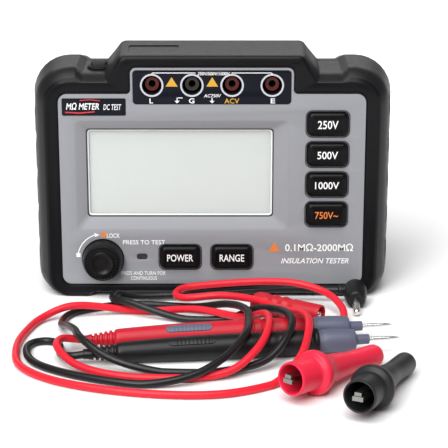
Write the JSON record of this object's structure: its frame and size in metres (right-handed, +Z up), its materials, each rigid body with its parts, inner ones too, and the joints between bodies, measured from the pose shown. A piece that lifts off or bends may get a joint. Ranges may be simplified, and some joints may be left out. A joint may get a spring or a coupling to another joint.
{
  "type": "insulation resistance tester",
  "caption": "Handheld bench insulation resistance tester with black bumpered case, display, push buttons, test knob, four sockets and a pair of test leads with clips",
  "frame": {"origin": "centre of the instrument's footprint on the surface it stands on, leads not counted", "axes": "+X to the right seen from the front, +Y from the display to the back, +Z up"},
  "size_m": [0.2031, 0.2636, 0.1382],
  "materials": {
    "black_case": "fine moulded texture, slightly rubbery",
    "grey_panel": "satin grey",
    "black_plate": "smooth black",
    "display_window": "clear acrylic",
    "display_glass": "blank liquid crystal display",
    "white_plastic": "diffuser",
    "circuit_board": "solder mask",
    "transformer_iron": "laminated core",
    "capacitor_can": "sleeved can",
    "keypad_rubber": "glossy silicone",
    "lens_plastic": "dark tinted",
    "red_plastic": "moulded red",
    "contact_brass": "plated brass",
    "inner_plastic": "plain",
    "spring_steel": "nickel plated",
    "cell_jacket": "printed jacket",
    "screw_steel": "zinc plated",
    "soft_rubber": "matt",
    "knob_plastic": "satin black",
    "red_cord": "soft silicone",
    "black_cord": "soft silicone",
    "black_handle": "satin black",
    "pin_nickel": "nickel plated",
    "slate_plastic": "slate grey",
    "red_boot": "soft vinyl",
    "black_boot": "soft vinyl"
  },
  "bodies": {
    "case": {"front_case": "black_case", "rear_case": "black_case", "face_panel": "grey_panel", "jack_panel": "black_plate", "name_plate": "black_plate", "lcd_window": "display_window", "lcd_module": "display_glass", "backlight": "white_plastic", "main_board": "circuit_board", "transformer": "transformer_iron", "capacitors": "capacitor_can", "keypad_mat": "keypad_rubber", "led_lens": "lens_plastic", "jack_l": "red_plastic", "jack_g": "black_plate", "jack_acv": "red_plastic", "jack_e": "red_plastic", "contact_l": "contact_brass", "contact_g": "contact_brass", "contact_acv": "contact_brass", "contact_e": "contact_brass", "test_switch": "inner_plastic", "battery_tray": "inner_plastic", "battery_contacts": "spring_steel", "batteries": "cell_jacket", "case_screws": "screw_steel", "bottom_feet": "soft_rubber", "adaptor_socket": "inner_plastic", "red_lead": "red_cord", "black_lead": "black_cord", "red_plug": "red_plastic", "black_plug": "black_handle", "red_plug_pin": "pin_nickel", "black_plug_pin": "pin_nickel", "red_probe_handle": "red_plastic", "black_probe_handle": "black_handle", "red_probe_guard": "slate_plastic", "black_probe_guard": "slate_plastic", "red_probe_tip": "pin_nickel", "black_probe_tip": "pin_nickel", "red_clip_boot": "red_boot", "black_clip_boot": "black_boot", "red_clip_lower_jaw": "pin_nickel", "black_clip_lower_jaw": "pin_nickel"},
    "key_250": {"button_250": "keypad_rubber"},
    "key_500": {"button_500": "keypad_rubber"},
    "key_1000": {"button_1000": "keypad_rubber"},
    "key_750": {"button_750": "keypad_rubber"},
    "key_power": {"button_power": "keypad_rubber"},
    "key_range": {"button_range": "keypad_rubber"},
    "plunger": {"knob_plunger": "screw_steel"},
    "knob": {"test_knob": "knob_plastic"},
    "cover": {"battery_cover": "black_case", "cover_screws": "screw_steel"},
    "cap": {"adaptor_cap": "soft_rubber"},
    "red_jaw": {"red_clip_upper_jaw": "pin_nickel"},
    "black_jaw": {"black_clip_upper_jaw": "pin_nickel"}
  },
  "joints": [
    {"name": "press_250", "type": "slide", "parent": "case", "child": "key_250", "axis": [0, 1, 0], "range_m": [0, 0.0012], "stiffness_N_per_m": 400},
    {"name": "press_500", "type": "slide", "parent": "case", "child": "key_500", "axis": [0, 1, 0], "range_m": [0, 0.0012], "stiffness_N_per_m": 400},
    {"name": "press_1000", "type": "slide", "parent": "case", "child": "key_1000", "axis": [0, 1, 0], "range_m": [0, 0.0012], "stiffness_N_per_m": 400},
    {"name": "press_750", "type": "slide", "parent": "case", "child": "key_750", "axis": [0, 1, 0], "range_m": [0, 0.0012], "stiffness_N_per_m": 400},
    {"name": "press_power", "type": "slide", "parent": "case", "child": "key_power", "axis": [0, 1, 0], "range_m": [0, 0.0012], "stiffness_N_per_m": 400},
    {"name": "press_range", "type": "slide", "parent": "case", "child": "key_range", "axis": [0, 1, 0], "range_m": [0, 0.0012], "stiffness_N_per_m": 400},
    {"name": "test_press", "type": "slide", "parent": "case", "child": "plunger", "axis": [0, 1, 0], "range_m": [0, 0.003], "stiffness_N_per_m": 600},
    {"name": "test_turn", "type": "hinge", "parent": "plunger", "child": "knob", "pos_m": [-0.0612, -0.04, 0.0216], "axis": [0, 1, 0], "range_deg": [0, 80]},
    {"name": "cover_lift_off", "type": "slide", "parent": "case", "child": "cover", "axis": [0, 1, 0], "range_m": [0, 0.03]},
    {"name": "cap_pull_out", "type": "slide", "parent": "case", "child": "cap", "axis": [0, 0, 1], "range_m": [0, 0.024]},
    {"name": "red_clip_open", "type": "hinge", "parent": "case", "child": "red_jaw", "pos_m": [0.04986, -0.1788, 0.01268], "axis": [-0.7431, 0.6691, 0], "range_deg": [0, 12], "stiffness_Nm_per_rad": 0.02},
    {"name": "black_clip_open", "type": "hinge", "parent": "case", "child": "black_jaw", "pos_m": [0.07607, -0.19688, 0.01268], "axis": [-0.9063, 0.4226, 0], "range_deg": [0, 12], "stiffness_Nm_per_rad": 0.02}
  ]
}
